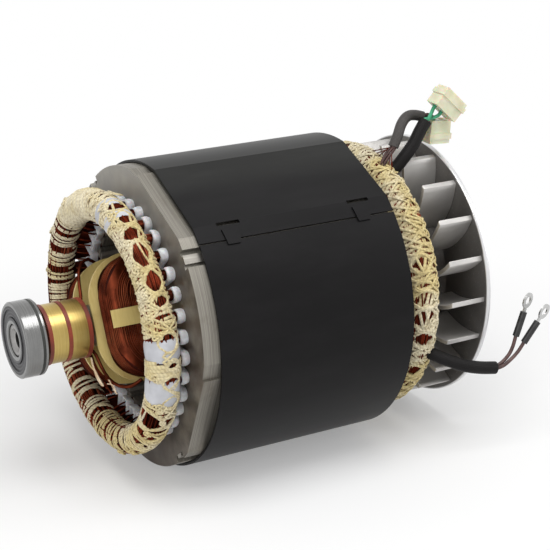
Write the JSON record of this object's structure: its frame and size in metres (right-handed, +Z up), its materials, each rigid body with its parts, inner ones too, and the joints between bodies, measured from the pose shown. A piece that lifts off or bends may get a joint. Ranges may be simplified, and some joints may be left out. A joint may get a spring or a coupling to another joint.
{
  "type": "single-phase generator alternator core",
  "caption": "Alternator core for an engine generator: laced stator in a black cover band, two-pole slip-ring rotor, ball bearing, cast fan and lead pigtails.",
  "frame": {"origin": "on the shaft's axis at the outer face of the bearing", "axes": "+X along the shaft from the bearing to the drive end, +Z up as the machine lies on its cover band"},
  "size_m": [0.3276, 0.1991, 0.2264],
  "materials": {
    "lamination": "varnished sheet steel edges, dull grey-brown",
    "cleat_steel": "bright rolled steel",
    "slot_paper": "white polyester slot liner",
    "copper_winding": "red-brown enamelled copper wire",
    "lacing_cord": "cream polyester lacing cord, varnished",
    "sleeve_fabric": "white-grey woven sleeve",
    "cover_plastic": "black satin sheet plastic",
    "shaft_steel": "turned steel",
    "rotor_steel": "varnished laminations",
    "bobbin_board": "tan pressed insulating board",
    "hub_resin": "red-brown moulded phenolic",
    "ring_brass": "turned brass",
    "cast_aluminium": "rough cast aluminium, machined rim",
    "bearing_steel": "ground bearing steel",
    "seal_rubber": "dark grey moulded seal",
    "black_sleeve": "black heat-shrink sleeve",
    "grey_sleeve": "grey-black woven sleeve",
    "brown_lead": "dark brown insulated lead",
    "green_lead": "green insulated lead",
    "tin_plate": "tin-plated copper",
    "nylon": "natural nylon, slightly translucent"
  },
  "bodies": {
    "stator": {"stator_core": "lamination", "core_cleats": "cleat_steel", "slot_liners": "slot_paper", "slot_conductors": "copper_winding", "front_end_winding": "copper_winding", "rear_end_winding": "copper_winding", "front_lacing": "lacing_cord", "rear_lacing": "lacing_cord", "winding_sleeves": "sleeve_fabric", "cover_band": "cover_plastic", "cover_hooks": "cover_plastic", "terminal_lead_sleeve": "black_sleeve", "left_terminal_lead": "brown_lead", "right_terminal_lead": "brown_lead", "left_shrink_tube": "black_sleeve", "right_shrink_tube": "black_sleeve", "left_ring_terminal": "tin_plate", "right_ring_terminal": "tin_plate", "black_lead_sleeve": "black_sleeve", "brown_lead_wires": "brown_lead", "grey_lead_sleeve": "grey_sleeve", "left_green_lead": "green_lead", "right_green_lead": "green_lead", "large_connector": "nylon", "small_connector": "nylon"},
    "rotor": {"shaft": "shaft_steel", "rotor_core": "rotor_steel", "near_pole_coil": "copper_winding", "far_pole_coil": "copper_winding", "near_coil_bobbin": "bobbin_board", "far_coil_bobbin": "bobbin_board", "coil_retaining_bars": "bobbin_board", "rotor_leads": "copper_winding", "slip_ring_hub": "hub_resin", "front_slip_ring": "ring_brass", "rear_slip_ring": "ring_brass", "fan": "cast_aluminium", "fan_blades": "cast_aluminium", "bearing_inner_ring": "bearing_steel"},
    "bearing_outer": {"bearing_outer_ring": "bearing_steel", "bearing_o_ring": "seal_rubber", "bearing_seals": "seal_rubber"}
  },
  "joints": [
    {"name": "rotor_spin", "type": "hinge", "parent": "stator", "child": "rotor", "pos_m": [0.15, 0, 0], "axis": [1, 0, 0], "continuous": true},
    {"name": "bearing_spin", "type": "hinge", "parent": "rotor", "child": "bearing_outer", "pos_m": [0.007, 0, 0], "axis": [1, 0, 0], "continuous": true}
  ]
}
